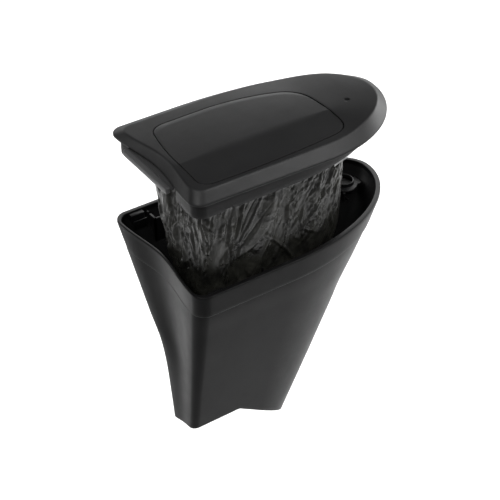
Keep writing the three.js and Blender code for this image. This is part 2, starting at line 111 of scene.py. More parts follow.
RIM = plan(2, 250, -75.5, 74.5, 6.5, 13, 10, 105, 72)
RIM_MOUTH = dict(RIM, left=4.8, right=245.2, front=-70.7, back=69.7, corner=10)
LID_EDGE = dict(RIM, left=4, right=246.5, front=-73.1, back=73.5, corner=12, front_run=142, slant=3)
LID_CREASE = plan(9.5, 230, -63, 63.5, 4.5, 11, -6, 144, 105)
SKIRT = dict(RIM, left=6.4, right=239.6, front=-68.2, back=63.9, corner=11, sag=6.2)

SHELL_DEPTHS = (-3, -22, -48, -72, -92, -113, -146, -212)
SHELL_PLANS = (
    plan(2, 250, -73, 74.5, 6.5, 12, 10, 105, 76),
    plan(2, 236, -73, 59, 6, 12, 4, 103, 76),
    plan(2, 216, -71, 38.5, 5, 11, -5, 100, 74),
    plan(1.8, 195, -69, 19, 4, 10, -14, 97, 70),
    plan(1.6, 179.5, -67.2, 1, 3, 9, -24, 93, 68),
    plan(1.2, 164.6, -65.4, -9, 2, 8, -31, 89, 66),
    plan(0.8, 144.8, -62.5, -17, 1, 7, -37, 82, 64),
    plan(-0.2, 107.8, -57, -30.4, 0, 5.8, -43, 72, 59),
)


# ------------------------------------------------------------------ plan outlines
def arc(cx, cy, rx, ry, start, end, steps):
    a = np.radians(np.linspace(start, end, steps, endpoint=False))
    return np.stack([cx + rx * np.cos(a), cy + ry * np.sin(a)], 1)


def run(x0, y0, x1, y1, steps, bulge=0.0):
    t = np.linspace(0, 1, steps, endpoint=False)
    swell = bulge * (0.5 - 0.5 * np.cos(2 * np.pi * t))
    return np.stack([x0 + (x1 - x0) * t + swell, y0 + (y1 - y0) * t], 1)


def outline(p):
    """Closed plan outline, anticlockwise from above, with the same count for every plan."""
    c = p["corner"]
    front_left = p["front"] + p.get("slant", 0)
    return np.concatenate([
        arc(p["left"] + c, front_left + c, c, c, 180, 270, 16),
        run(p["left"] + c, front_left, p["front_run"], p["front"], 30),
        arc(p["front_run"], p["nose"], p["right"] - p["front_run"], p["nose"] - p["front"],
            -90, 0, 56),
        arc(p["back_run"], p["nose"], p["right"] - p["back_run"], p["back"] - p["nose"],
            0, 90, 56),
        run(p["back_run"], p["back"], p["left"] + c, p["back"], 20),
        arc(p["left"] + c, p["back"] - c, c, c, 90, 180, 16),
        run(p["left"], p["back"] - c, p["left"], front_left + c, 46, p["sag"]),
    ])


def inset(points, distance):
    """A closed outline moved inwards along its normals."""
    along = np.roll(points, -1, 0) - np.roll(points, 1, 0)
    along /= np.linalg.norm(along, axis=1)[:, None]
    return points + distance * np.stack([-along[:, 1], along[:, 0]], 1)


def at_height(points, z):
    """Plan points lifted to a height, one for all or one each."""
    return np.column_stack([points, np.broadcast_to(z, len(points))])


def smooth_between(x, xs, ys):
    """Hermite curve through the points, with slopes that never overshoot."""
    xs, ys = np.asarray(xs, float), np.asarray(ys, float)
    steps = np.diff(ys) / np.diff(xs)
    slopes = np.zeros(len(xs))
    slopes[0], slopes[-1] = steps[0], steps[-1]
    for i in range(1, len(xs) - 1):
        if steps[i - 1] * steps[i] > 0:
            slopes[i] = 2 * steps[i - 1] * steps[i] / (steps[i - 1] + steps[i])
    i = np.clip(np.searchsorted(xs, x) - 1, 0, len(xs) - 2)
    h = xs[i + 1] - xs[i]
    t = (x - xs[i]) / h
    return ((1 + 2 * t) * (1 - t) ** 2 * ys[i] + t * (1 - t) ** 2 * h * slopes[i]
            + t * t * (3 - 2 * t) * ys[i + 1] + t * t * (t - 1) * h * slopes[i + 1])


def resample(points, count, closed=True):
    """Evenly spaced points along an outline or an open line."""
    line = np.vstack([points, points[:1]]) if closed else points
    along = np.concatenate([[0], np.cumsum(np.linalg.norm(np.diff(line, axis=0), axis=1))])
    wanted = np.linspace(0, along[-1], count, endpoint=not closed)
    return np.stack([np.interp(wanted, along, line[:, k]) for k in (0, 1)], 1)


def shell_plan(z):
    """The shell's plan at any depth."""
    depths = SHELL_DEPTHS[::-1]
    return {key: smooth_between(z, depths, [p[key] for p in SHELL_PLANS[::-1]])
            for key in PLAN_KEYS}


# ------------------------------------------------------------------ mesh helpers
MERGE_DISTANCE = 1e-6
EMPTY_EDGE = 1e-7


def place(points):
    """Rim frame in millimetres to the row's frame in metres."""
    return (np.asarray(points, float) + RIM_TO_ROW) * 0.001


def stitch(rings, closed=True):
    """Quads between neighbouring rings of equal length."""
    count = len(rings[0])
    around = count if closed else count - 1
    faces = []
    for level in range(len(rings) - 1):
        for i in range(around):
            a = level * count + i
            b = level * count + (i + 1) % count
            faces.append((a, b, b + count, a + count))
    return np.concatenate(rings), faces


def cap_ends(faces, count, total):
    """Closes the first and the last ring of a stack of rings."""
    faces.append(tuple(range(count))[::-1])
    faces.append(tuple(range(total - count, total)))


def new_object(name, verts, faces, in_row=False):
    mesh = bpy.data.meshes.new(name)
    points = np.asarray(verts, float) if in_row else place(verts)
    mesh.from_pydata(points.tolist(), [], [tuple(map(int, f)) for f in faces])
    obj = bpy.data.objects.new(name, mesh)
    bpy.context.scene.collection.objects.link(obj)
    tidy(obj)
    return obj


def tidy(obj):
    """Merges doubled points, drops empty faces and points the normals outwards."""
    bm = bmesh.new()
    bm.from_mesh(obj.data)
    bmesh.ops.remove_doubles(bm, verts=bm.verts, dist=MERGE_DISTANCE)
    bmesh.ops.dissolve_degenerate(bm, edges=bm.edges, dist=EMPTY_EDGE)
    bmesh.ops.recalc_face_normals(bm, faces=bm.faces)
    bm.to_mesh(obj.data)
    bm.free()


def smooth(obj, angle=32):
    obj.data.shade_smooth()
    obj.data.set_sharp_from_angle(angle=math.radians(angle))


def apply_modifiers(obj):
    graph = bpy.context.evaluated_depsgraph_get()
    mesh = bpy.data.meshes.new_from_object(obj.evaluated_get(graph))
    old = obj.data
    obj.modifiers.clear()
    obj.data = mesh
    mesh.name = obj.name
    bpy.data.meshes.remove(old)


def bevel(obj, width, angle=40):
    """Rounds the edges sharper than an angle, in two segments."""
    m = obj.modifiers.new("bevel", "BEVEL")
    m.width = width * 0.001
    m.segments = 2
    m.limit_method = "ANGLE"
    m.angle_limit = math.radians(angle)
    m.use_clamp_overlap = True
    apply_modifiers(obj)


def cut(obj, cutters, operation="DIFFERENCE"):
    """Takes each cutter out of obj, or adds it to obj, and removes the cutters."""
    for cutter in cutters:
        m = obj.modifiers.new("cut", "BOOLEAN")
        m.operation = operation
        m.solver = "EXACT"
        m.object = cutter
        apply_modifiers(obj)
        bpy.data.objects.remove(cutter)


def join(target, others):
    """Moves the others' meshes into the target's."""
    bm = bmesh.new()
    bm.from_mesh(target.data)
    for other in others:
        bm.from_mesh(other.data)
        bpy.data.objects.remove(other)
    bm.to_mesh(target.data)
    bm.free()


def block(name, x0, x1, y0, y1, z0, z1):
    """Closed box."""
    corners = [(x, y, z) for x in (x0, x1) for y in (y0, y1) for z in (z0, z1)]
    faces = [(0, 1, 3, 2), (4, 6, 7, 5), (0, 4, 5, 1), (2, 3, 7, 6), (0, 2, 6, 4), (1, 5, 7, 3)]
    return new_object(name, corners, faces)


def prism(name, points, low, high):
    """Closed solid between two heights of one outline."""
    rings = [at_height(points, low), at_height(points, high)]
    verts, faces = stitch(rings)
    cap_ends(faces, len(points), len(verts))
    return new_object(name, verts, faces)


def side_prism(name, profile, x0, x1):
    """Closed solid from a (y, z) profile swept along X."""
    count = len(profile)
    verts = [(x, y, z) for x in (x0, x1) for y, z in profile]
    faces = [(i, (i + 1) % count, count + (i + 1) % count, count + i) for i in range(count)]
    cap_ends(faces, count, len(verts))
    return new_object(name, verts, faces)


def lathe(name, profile, x, y, sides):
    """Closed solid of revolution about the upright axis at (x, y), from a closed (r, z) profile."""
    a = np.linspace(0, 2 * np.pi, sides, endpoint=False)
    rings = [np.column_stack([x + r * np.cos(a), y + r * np.sin(a), np.full(sides, z)])
             for r, z in profile]
    verts, faces = stitch(rings + [rings[0]])
    return new_object(name, verts, faces)


# ------------------------------------------------------------------ materials
def grey(value, tint=0.0):
    """A neutral colour, a little bluer by the tint."""
    return (value, value, value + tint)


def nodes_of(material):
    return material.node_tree.nodes, material.node_tree.links


def principled(name, color, roughness, **sockets):
    material = bpy.data.materials.new(name)
    material.use_nodes = True
    shader = material.node_tree.nodes["Principled BSDF"]
    shader.inputs["Base Color"].default_value = (*color, 1)
    shader.inputs["Roughness"].default_value = roughness
    for key, value in sockets.items():
        shader.inputs[key].default_value = value
    return material, shader


def noise_node(material, scale, detail, rough=0.5, stretch=(1, 1, 1)):
    nodes, links = nodes_of(material)
    coords = nodes.new("ShaderNodeTexCoord")
    mapping = nodes.new("ShaderNodeMapping")
    mapping.inputs["Scale"].default_value = stretch
    texture = nodes.new("ShaderNodeTexNoise")
    texture.inputs["Scale"].default_value = scale
    texture.inputs["Detail"].default_value = detail
    texture.inputs["Roughness"].default_value = rough
    links.new(coords.outputs["Object"], mapping.inputs["Vector"])
    links.new(mapping.outputs["Vector"], texture.inputs["Vector"])
    return texture


def ramp(material, source, stops):
    """Two colours blended by a source, from two (position, colour) stops."""
    nodes, links = nodes_of(material)
    node = nodes.new("ShaderNodeValToRGB")
    for element, (position, color) in zip(node.color_ramp.elements, stops):
        element.position = position
        element.color = (*color, 1)
    links.new(source, node.inputs["Fac"])
    return node.outputs["Color"]


def remap(material, source, low, high):
    nodes, links = nodes_of(material)
    node = nodes.new("ShaderNodeMapRange")
    node.inputs["To Min"].default_value = low
    node.inputs["To Max"].default_value = high
    links.new(source, node.inputs["Value"])
    return node.outputs["Result"]


def bump(material, shader, heights):
    """Chains bumps: (height output, strength, distance in millimetres)."""
    nodes, links = nodes_of(material)
    previous = None
    for height, strength, distance in heights:
        node = nodes.new("ShaderNodeBump")
        node.inputs["Strength"].default_value = strength
        node.inputs["Distance"].default_value = distance * 0.001
        links.new(height, node.inputs["Height"])
        if previous:
            links.new(previous, node.inputs["Normal"])
        previous = node.outputs["Normal"]
    links.new(previous, shader.inputs["Normal"])


def satin_plastic(name, dark, light, roughness, shine, grain=0.25):
    """Moulded satin plastic: fine eroded grain, faint cloudiness and slight handling marks."""
    material, shader = principled(name, dark, roughness)
    shader.inputs["Specular IOR Level"].default_value = shine
    _, links = nodes_of(material)
    cloud = noise_node(material, 22, 4)
    links.new(ramp(material, cloud.outputs["Fac"], [(0.3, dark), (0.75, light)]),
              shader.inputs["Base Color"])
    marks = noise_node(material, 60, 6, 0.65)
    links.new(remap(material, marks.outputs["Fac"], roughness - 0.07, roughness + 0.09),
              shader.inputs["Roughness"])
    fine = noise_node(material, 2600, 2)
    coarse = noise_node(material, 900, 2)
    bump(material, shader, [(fine.outputs["Fac"], grain, 0.05), (coarse.outputs["Fac"], grain, 0.06)])
    return material


SHELL_PLASTIC = satin_plastic("shell_plastic", grey(0.003, 0.0003), grey(0.0055, 0.0005), 0.4, 0.22)
LID_PLASTIC = satin_plastic("lid_plastic", grey(0.017, 0.0005), grey(0.024, 0.0005), 0.46, 0.42, 0.4)
FRAME_PLASTIC = satin_plastic("frame_plastic", grey(0.004, 0.0005), grey(0.008, 0.0005), 0.45, 0.35)
# Lighter copy of the lid's plastic for the finger grip: the lighter colour is a painted highlight on
# the grip's top strip.
GRIP_PAINTED_HIGHLIGHT = satin_plastic("grip_painted_highlight", grey(0.08, 0.001), grey(0.12, 0.001), 0.35, 0.6)


def finish_piece(obj, body, slot, material, *replaced):
    """Gives a piece its material and its body, and hides the CAD nodes that it stands for. The slot
    is not used.
    """
    obj.data.materials.clear()
    obj.data.materials.append(material)
    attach(obj, body)
    if replaced:
        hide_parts(*replaced)
    return obj


# ------------------------------------------------------------------ shell
def floor_z(x, y, raised):
    """Height of the floor: it falls towards the back, and past the bend also to the toe."""
    slope = (TOE_Z - FLOOR_Z) / (TOE_X - FLOOR_BEND_X)
    return (FLOOR_Z + raised + slope * np.maximum(x - FLOOR_BEND_X, 0)
            - FLOOR_FALL * (y - FLOOR_FRONT))


TABLE_Z = np.arange(-215.0, -2.9, 1.0)
WALL_ROWS = 56
FOOT_GUESS = -165.0  # first guess of the height where the wall meets the floor
FOOT_PASSES = 30  # times that it is brought closer


class Wall:
    """The shell's wall at any depth, one column for each point round the outline."""

    def __init__(self, thick):
        self.table = np.stack([inset(outline(shell_plan(z)), thick) for z in TABLE_Z])

    def at(self, z):
        """Plan points at one height per column."""
        place_in = (z - TABLE_Z[0]) / (TABLE_Z[1] - TABLE_Z[0])
        i = np.clip(place_in.astype(int), 0, len(TABLE_Z) - 2)
        t = (place_in - i)[:, None]
        column = np.arange(self.table.shape[1])
        return self.table[i, column] * (1 - t) + self.table[i + 1, column] * t

    def foot(self, raised):
        """The height in each column where the wall meets the floor."""
        z = np.full(self.table.shape[1], FOOT_GUESS)
        for _ in range(FOOT_PASSES):
            p = self.at(z)
            z = 0.5 * z + 0.5 * floor_z(p[:, 0], p[:, 1], raised)
        return z


def wall_and_floor(thick, raised, top, radius):
    """Rings from the middle of the floor, round the floor's edge and up the wall to `top`."""
    wall = Wall(thick)
    foot = wall.foot(raised)
    edge = wall.at(foot)
    hub = edge.mean(0)
    rings = []
    for share in np.linspace(0.02, 1, 14, endpoint=False):
        p = hub + (inset(edge, radius) - hub) * share
        rings.append(at_height(p, floor_z(p[:, 0], p[:, 1], raised)))
    for turn in np.linspace(0, np.pi / 2, 6):
        z = foot + radius * (1 - np.cos(turn))
        p = inset(wall.at(z), radius * (1 - np.sin(turn)))
        lift = radius * (1 - np.cos(turn))
        rings.append(at_height(p, floor_z(p[:, 0], p[:, 1], raised) * (1 - np.sin(turn))
                               + (foot + lift) * np.sin(turn)))
    for t in np.linspace(0, 1, WALL_ROWS)[1:]:
        z = (foot + radius) + (top - foot - radius) * t
        rings.append(at_height(wall.at(z), z))
    return rings


def round_over(low, high, z_low, z_high, steps=4):
    """Quarter-round rings from an upright edge (low) to a flat one (high)."""
    turns = np.linspace(0, np.pi / 2, steps + 1)[1:]
    return [at_height(low + (high - low) * (1 - np.cos(a)), z_low + (z_high - z_low) * np.sin(a))
            for a in turns]


def build_shell():
    """One closed skin: floor, outer wall, band, rim, mouth, inner wall and inner floor."""
    rim = outline(RIM)
    mouth = outline(RIM_MOUTH)
    band_foot = outline(dict(shell_plan(-BAND_HEIGHT), front=RIM["front"], corner=RIM["corner"]))
    wall_top = outline(shell_plan(-BAND_HEIGHT))
    proud = np.linalg.norm(band_foot - wall_top, axis=1)
    soft = np.minimum(BAND_EDGE, proud / 2.2)[:, None]
    inward = (wall_top - band_foot) / np.maximum(proud, 1e-6)[:, None]
    outer = wall_and_floor(0.0, 0.0, -BAND_HEIGHT, FLOOR_EDGE_OUT)
    ledge = [at_height(band_foot + inward * soft, -BAND_HEIGHT)]
    ledge += [at_height(band_foot + inward * soft * (1 - np.sin(a)),
                        -BAND_HEIGHT + soft[:, 0] * (1 - np.cos(a)))
              for a in np.linspace(0, np.pi / 2, 4)[1:]]
    band = []
    for t in np.linspace(0, 1, 8)[1:]:
        z = -BAND_HEIGHT + soft[:, 0] + (BAND_HEIGHT - 3 - soft[:, 0]) * t
        share = ((z + BAND_HEIGHT) / (BAND_HEIGHT - 3))[:, None]
        band.append(at_height(band_foot + (rim - band_foot) * share, z))
    lip = [at_height(rim, -LIP_RADIUS)] + round_over(rim, inset(rim, LIP_RADIUS), -LIP_RADIUS, 0)
    inner_edge = inset(mouth, -MOUTH_RADIUS)
    over = [at_height(inner_edge, 0.0)]
    over += [at_height(inner_edge + (mouth - inner_edge) * np.sin(a), MOUTH_RADIUS * (np.cos(a) - 1))
             for a in np.linspace(0, np.pi / 2, 5)[1:]]
    over += [at_height(mouth, z) for z in (-2.5, MOUTH_STEP)]
    seat = inset(outline(shell_plan(SEAT_DEPTH)), WALL + 0.2)
    over += [at_height(mouth + (seat - mouth) * t, MOUTH_STEP + (SEAT_DEPTH - MOUTH_STEP) * t)
             for t in (0.25, 0.5, 0.75, 1)]
    inside = wall_and_floor(WALL, FLOOR_THICK, INNER_TOP, FLOOR_EDGE_IN)[::-1]
    rings = outer + ledge + band + lip + over + inside
    verts, faces = stitch(rings)
    cap_ends(faces, len(rim), len(verts))
    return new_object("bin_shell", verts, faces)


shell = build_shell()


def ring_prism(name, outer, inner, low, high):
    """Closed tube between two outlines with the same count."""
    rings = [at_height(p, z) for p, z in ((outer, low), (outer, high), (inner, high), (inner, low))]
    verts, faces = stitch(rings + [rings[0]])
    return new_object(name, verts, faces)


def shell_core():
    """Closed solid that ends inside the shell's wall, for trimming what stands on the wall."""
    rings = [at_height(inset(outline(shell_plan(z)), WALL / 2), z) for z in range(-45, -8, 3)]
    rings += [at_height(inset(outline(RIM), WALL), z) for z in (-6, -1)]
    verts, faces = stitch(rings)
    cap_ends(faces, len(rings[0]), len(verts))
    return new_object("core", verts, faces)


def fittings():
    """Catches, ribs and the back left upright, with a channel for the seated skirt."""
    pieces = [block("catch", x0, x1, y0, y1, -14, -5) for x0, x1, y0, y1 in CATCH_SPANS]
    pieces += [block("rib", x - 0.9, x + 0.9, -73, -64.2, -16, -1.5) for x in (74, 149)]
    fin = [(51.3, -3), (51.3, -34), (57, -27), (73, -5), (73, -3)]
    pieces.append(side_prism("fin", fin, 34, 36))
    pieces.append(block("ledge", 17, 31, 64.6, 70.6, -7, -1.2))
    skirt = outline(SKIRT)
    for piece in pieces:
        channel = ring_prism("channel", inset(skirt, -0.5), inset(skirt, SKIRT_WALL + 0.4),
                             CHANNEL_FLOOR, 2)
        cut(piece, [channel])
    pieces.append(block("fin_face", 34, 66, 51.3, 53.3, -31, -3))
    for piece in pieces:
        cut(piece, [shell_core()], "INTERSECT")
    return pieces


details = fittings()
for piece in details:
    bevel(piece, 0.4)
join(shell, details)
smooth(shell)
finish_piece(shell, "bin", "shell_plastic", SHELL_PLASTIC, "bin_body")


# ------------------------------------------------------------------ lid
def quadratic(p0, p1, p2, steps):
    t = np.linspace(0, 1, steps, endpoint=False)[:, None]
    return (1 - t) ** 2 * p0 + 2 * t * (1 - t) * p1 + t * t * p2


def flap_outline():
    """The push flap: straight front, slanted ends and a wide back right corner."""
    start = np.array([17.5, -48.0])
    moves = [
        ((17.8, -58.5), (32, -59.2)), ((46, -59.5), (60, -59.8)), ((110, -59.8), (155, -56.4)),
        ((172.5, -54.5), (173, -40)), ((173.5, -19), (174, 2)), ((174.5, 26), (152, 35)),
        ((120, 47.5), (88, 48)), ((67, 47.75), (46, 47.5)), ((31, 47), (27.5, 34)),
        ((19, 4), (17.5, -24)), ((17.5, -36), (17.5, -48)),
    ]
    points, here = [], start
    for control, end in moves:
        points.append(quadratic(here, np.array(control), np.array(end), 40))
        here = np.array(end, float)
    return np.concatenate(points)


OPENING = flap_outline()
LID_CENTRE = np.array([95.0, RIDGE_Y])


def ray_hits(points, directions):
    """Where rays from the lid's centre cross a closed outline."""
    away = points - LID_CENTRE
    angles = np.unwrap(np.arctan2(away[:, 1], away[:, 0]))
    wanted = np.arctan2(directions[:, 1], directions[:, 0])
    base = angles[0]
    closed = np.append(angles, base + 2 * np.pi)
    ring = np.vstack([points, points[:1]])
    turned = base + np.mod(wanted - base, 2 * np.pi)
    x = np.interp(turned, closed, ring[:, 0])
    y = np.interp(turned, closed, ring[:, 1])
    return np.stack([x, y], 1)


def roof(points, soft):
    """The lid's top: two falls from a ridge that is crisp where `soft` is small."""
    away = points[:, 1] - RIDGE_Y
    return LIFT + RIDGE_Z - ROOF_SLOPE * (np.sqrt(away ** 2 + soft ** 2) - soft)


def nose_soft(points):
    """The ridge fades out beyond the flap."""
    right = np.clip((points[:, 0] - 160) / 50, 0, 1)
    left = np.clip((30 - points[:, 0]) / 20, 0, 1)
    return 0.6 + 60 * right ** 2 + 6 * left


def lid_top_rings():
    """Open sheet: from the lid's lower edge, up the bevel, over the crease, in to the opening."""
    edge = outline(LID_EDGE)
    crease = outline(LID_CREASE)
    top_z = roof(crease, nose_soft(crease))
    foot_z = LIFT + 1.5
    rings = [at_height(edge, LIFT + z) for z in (0.0, 0.8)]
    crease3 = at_height(crease, top_z)
    foot3 = at_height(edge, foot_z)
    rings.append(at_height(edge, foot_z - 0.3))
    slope = crease3 - foot3
    length = np.linalg.norm(slope, axis=1)[:, None]
    round_edge = 1.8
    start = crease3 - slope / length * round_edge
    for t in np.linspace(0.03, 1, 9):
        rings.append(foot3 + (start - foot3) * t)
    opening = ray_hits(OPENING, crease - LID_CENTRE)
    inwards = opening - crease
    inwards /= np.linalg.norm(inwards, axis=1)[:, None]
    inner = crease + inwards * round_edge
    inner3 = at_height(inner, roof(inner, nose_soft(inner)))
    for t in np.linspace(0, 1, 7)[1:]:
        rings.append((1 - t) ** 2 * start + 2 * t * (1 - t) * crease3 + t * t * inner3)
    for t in np.linspace(0, 1, 26)[1:]:
        p = inner + (opening - inner) * t
        rings.append(at_height(p, roof(p, nose_soft(p))))
    return rings


def solidify(obj, thick):
    m = obj.modifiers.new("wall", "SOLIDIFY")
    m.thickness = thick * 0.001
    m.offset = -1
    m.use_even_offset = True
    apply_modifiers(obj)


def build_lid():
    """The cover: a bevelled shell round the flap's opening, with a seat for the badge."""
    verts, faces = stitch(lid_top_rings())
    lid = new_object("lid_shell", verts, faces)
    if sum(p.normal.z * p.area for p in lid.data.polygons) < 0:
        lid.data.flip_normals()
    solidify(lid, WALL)
    badge_seat = [(0, SEAT_Z), (BADGE_RADIUS + 0.2, SEAT_Z), (BADGE_RADIUS + 0.2, 120), (0, 120)]
    cut(lid, [lathe("badge_seat", badge_seat, *BADGE_AT, 40)])
    bevel(lid, 0.35, 50)
    smooth(lid, 40)
    return lid


lid = build_lid()
finish_piece(lid, "lid", "lid_plastic", LID_PLASTIC, "lid_cover")


def build_flap():
    """Two flat falls that meet in a crisp ridge, with rounded edges and hinge knuckles below."""
    edge = inset(OPENING, FLAP_GAP)
    above = edge[:, 1] > RIDGE_Y
    order = np.arange(len(edge))
    enters = order[above & ~np.roll(above, 1)][0]
    back = np.roll(edge, -enters, 0)[:int(above.sum())]
    front = np.roll(edge, -enters, 0)[int(above.sum()):]
    right_x = np.interp(RIDGE_Y, [front[-1, 1], back[0, 1]], [front[-1, 0], back[0, 0]])
    left_x = np.interp(RIDGE_Y, [front[0, 1], back[-1, 1]], [front[0, 0], back[-1, 0]])
    right, left = np.array([right_x, RIDGE_Y]), np.array([left_x, RIDGE_Y])
    count = 160
    back = resample(np.vstack([right, back, left]), count, closed=False)
    front = resample(np.vstack([left, front, right]), count, closed=False)[::-1]
    spine = right + (left - right) * np.linspace(0, 1, count)[:, None]
    rows = [front + (spine - front) * t for t in np.linspace(0, 1, 9)]
    rows += [spine + (back - spine) * t for t in np.linspace(0, 1, 12)[1:]]
    rings = [at_height(p, roof(p, 1e-3)) for p in rows]
    verts, faces = stitch(rings, closed=False)
    flap = new_object("push_flap", verts, faces)
    if sum(p.normal.z for p in flap.data.polygons) < 0:
        flap.data.flip_normals()
    solidify(flap, WALL)
    bevel(flap, 0.4, 50)
    return flap


flap = build_flap()


def knuckle(x0, x1):
    """A hinge eye under the flap: a round boss on a short web, bored for the pin."""
    a = np.radians(np.linspace(-10, 190, 25)[::-1])
    pin = LIFT + PIN_Z
    profile = [(RIDGE_Y + EYE_RADIUS * math.cos(t), pin - EYE_RADIUS * math.sin(t)) for t in a]
    profile += [(RIDGE_Y + side * EYE_WEB, LIFT + RIDGE_Z - 2) for side in (1, -1)]
    eye = side_prism("knuckle", profile, x0, x1)
    bore = [(RIDGE_Y + PIN_BORE * math.cos(t), pin + PIN_BORE * math.sin(t))
            for t in np.linspace(0, 2 * np.pi, 24, endpoint=False)]
    cut(eye, [side_prism("bore", bore, x0 - 1, x1 + 1)])
    return eye


join(flap, [knuckle(26, 36), knuckle(154, 164)])
smooth(flap, 25)
finish_piece(flap, "flap", "lid_plastic", LID_PLASTIC, "flap_panel")


# ------------------------------------------------------------------ lid frame
def build_frame():
    """A plate under the lid and the skirt below it, one closed moulding round the flap's opening."""
    skirt = outline(SKIRT)
    hole = ray_hits(inset(OPENING, -1.2), skirt - LID_CENTRE)
    inner = inset(skirt, SKIRT_WALL)
    top, low = LIFT + PLATE_TOP, LIFT - SKIRT_DEPTH
    under = top - PLATE_THICK
    corner = 0.7
    shoulder = inset(skirt, corner)
    rings = [at_height(hole + (shoulder - hole) * t, top) for t in np.linspace(0, 1, 6)]
    rings += [at_height(shoulder + (skirt - shoulder) * math.sin(a), top - corner * (1 - math.cos(a)))
              for a in np.linspace(0, math.pi / 2, 5)[1:]]
    rings += [at_height(skirt, top + (low + corner - top) * t) for t in (0.35, 0.7, 1)]
    tip = inset(skirt, SKIRT_WALL / 2)
    rings += [at_height(skirt + (tip - skirt) * (1 - math.cos(a)), low + corner * (1 - math.sin(a)))
              for a in np.linspace(0, math.pi / 2, 5)[1:]]
    rings += [at_height(tip + (inner - tip) * math.sin(a), low + corner * (1 - math.cos(a)))
              for a in np.linspace(0, math.pi / 2, 5)[1:]]
    rings += [at_height(inner, low + (under - low) * t) for t in (0.5, 1)]
    rings += [at_height(inner + (hole - inner) * t, under) for t in np.linspace(0, 1, 6)[1:]]
    verts, faces = stitch(rings + [rings[0]])
    moulding = new_object("lid_skirt", verts, faces)
    grip_slot = block("grip_slot", -5, 16.8, GRIP_Y[0] - 1.5, GRIP_Y[1] + 1.5, low - 5, LIFT - 0.1)
    latch_slot = block("latch_slot", 34, 42, -75, -62, low - 5, low + 2.2)
    cut(moulding, [grip_slot, latch_slot])
    return moulding


lid_skirt = build_frame()
smooth(lid_skirt, 35)
finish_piece(lid_skirt, "lid", "frame_plastic", FRAME_PLASTIC, "lid_frame")


# ------------------------------------------------------------------ bag ring and grip
def squeeze(value, start, end, far):
    """Maps start..far onto start..end and leaves what is below start."""
    return np.where(value < start, value, start + (value - start) * (end - start) / (far - start))


def ring_outline():
    """The skirt's outline moved in, and pressed further in at the nose and the back."""
    p = inset(outline(SKIRT), RING_INSET)
    return np.stack([squeeze(p[:, 0], 185, 200, SKIRT["right"] - RING_INSET),
                     squeeze(p[:, 1], 35, 50, SKIRT["back"] - RING_INSET)], 1)


RING = ring_outline()
RING_Z = LIFT + RING_TOP
RING_FOOT = RING_Z - RING_HEIGHT


def rounded_tube(name, outer, thick, low, high, radius):
    """Closed band between an outline and its inset, with rounded edges."""
    middle_out, inner = inset(outer, radius), inset(outer, thick)
    middle_in = inset(outer, thick - radius)
    turns = np.linspace(0, math.pi / 2, 4)
    corners = (
        (middle_out, outer, high, -radius, turns), (middle_out, outer, low, radius, turns[::-1]),
        (middle_in, inner, low, radius, turns), (middle_in, inner, high, -radius, turns[::-1]),
    )
    rings = [at_height(start + (edge - start) * math.sin(a), z + drop * (1 - math.cos(a)))
             for start, edge, z, drop, sweep in corners for a in sweep]
    verts, faces = stitch(rings + [rings[0]])
    return new_object(name, verts, faces)


END_ROUND = 1.2  # length over which the bar rounds off at its ends
RIB_HEIGHT = 0.12
STRIP_CROWN = slice(-9, -4)  # the middle points of the strip in a section


def grip_profile(y, shrink):
    """The grip's section at one place along Y: a crowned strip, a bar outside the shell, a neck."""
    c = RIM["corner"]
    t = (RIM["back"] - c - y) / (RIM["back"] - RIM["front"] - 2 * c)
    hollow = RIM["left"] + RIM["sag"] * (0.5 - 0.5 * math.cos(2 * math.pi * t))
    inner, r = hollow - 0.5, 0.9
    bottom = GRIP_TOP - GRIP_DEEP
    points = [(14, NECK_FOOT + NECK_THICK), (14, NECK_FOOT), (inner + 0.4, NECK_FOOT)]
    points += [(inner, NECK_FOOT - 0.4), (inner, bottom + r)]
    points += [(inner - r + r * math.cos(a), bottom + r - r * math.sin(a))
               for a in np.radians((30, 60, 90))]
    points += [(GRIP_FACE + r - r * math.sin(a), bottom + r - r * math.cos(a))
               for a in np.radians((0, 30, 60, 90))]
    middle, half = (GRIP_FACE + STRIP_END) / 2, (STRIP_END - GRIP_FACE) / 2
    points += [(middle - half * math.cos(a), GRIP_TOP - 1.2 + 1.2 * math.sin(a) ** 0.8)
               for a in np.radians(np.linspace(0.1, 179.9, 13))]
    near = np.array(points)
    bar = near[:, 0] < 13.9
    centre = np.array([4.0, GRIP_TOP - 3.0])
    near[bar] = centre + (near[bar] - centre) * (1 - 0.35 * shrink)
    return near


def build_grip():
    """The grip's sections, shrunk to a round at both ends, with fine ribs across the strip."""
    rings = []
    for y in np.arange(GRIP_Y[0], GRIP_Y[1] + 0.01, 0.5):
        end = min(y - GRIP_Y[0], GRIP_Y[1] - y)
        shrink = 1 - math.sqrt(max(0.0, 1 - (1 - min(end / END_ROUND, 1)) ** 2))
        near = grip_profile(y, shrink)
        if shrink < 0.01:
            near[STRIP_CROWN, 1] += RIB_HEIGHT * math.cos(math.pi * y)
        rings.append(np.column_stack([near[:, 0], np.full(len(near), y), near[:, 1]]))
    verts, faces = stitch(rings)
    cap_ends(faces, len(rings[0]), len(verts))
    return new_object("finger_grip", verts, faces)


def build_ring():
    """The ring that holds the bag, with three feet for the catches and the grip's drop."""
    ring = rounded_tube("bag_ring_moulding", RING, RING_WALL, RING_FOOT, RING_Z, 0.5)
    feet = []
    for x0, x1, y0, _ in CATCH_SPANS:
        span = (-65.8, -61.8) if y0 < 0 else (47.5, y0 + 1.8)
        feet.append(block("foot", x0 + 1.5, x1 - 1.5, *span, 83.3, 85.9))
    for foot in feet:
        bevel(foot, 0.3)
    drop = block("drop", 11.7, 16.0, *GRIP_Y, RING_Z - 3, NECK_FOOT + NECK_THICK - 0.1)
    cut(drop, [prism("mouth", inset(RING, RING_WALL - 0.05), 60, 100)])
    join(ring, feet + [drop])
    return ring


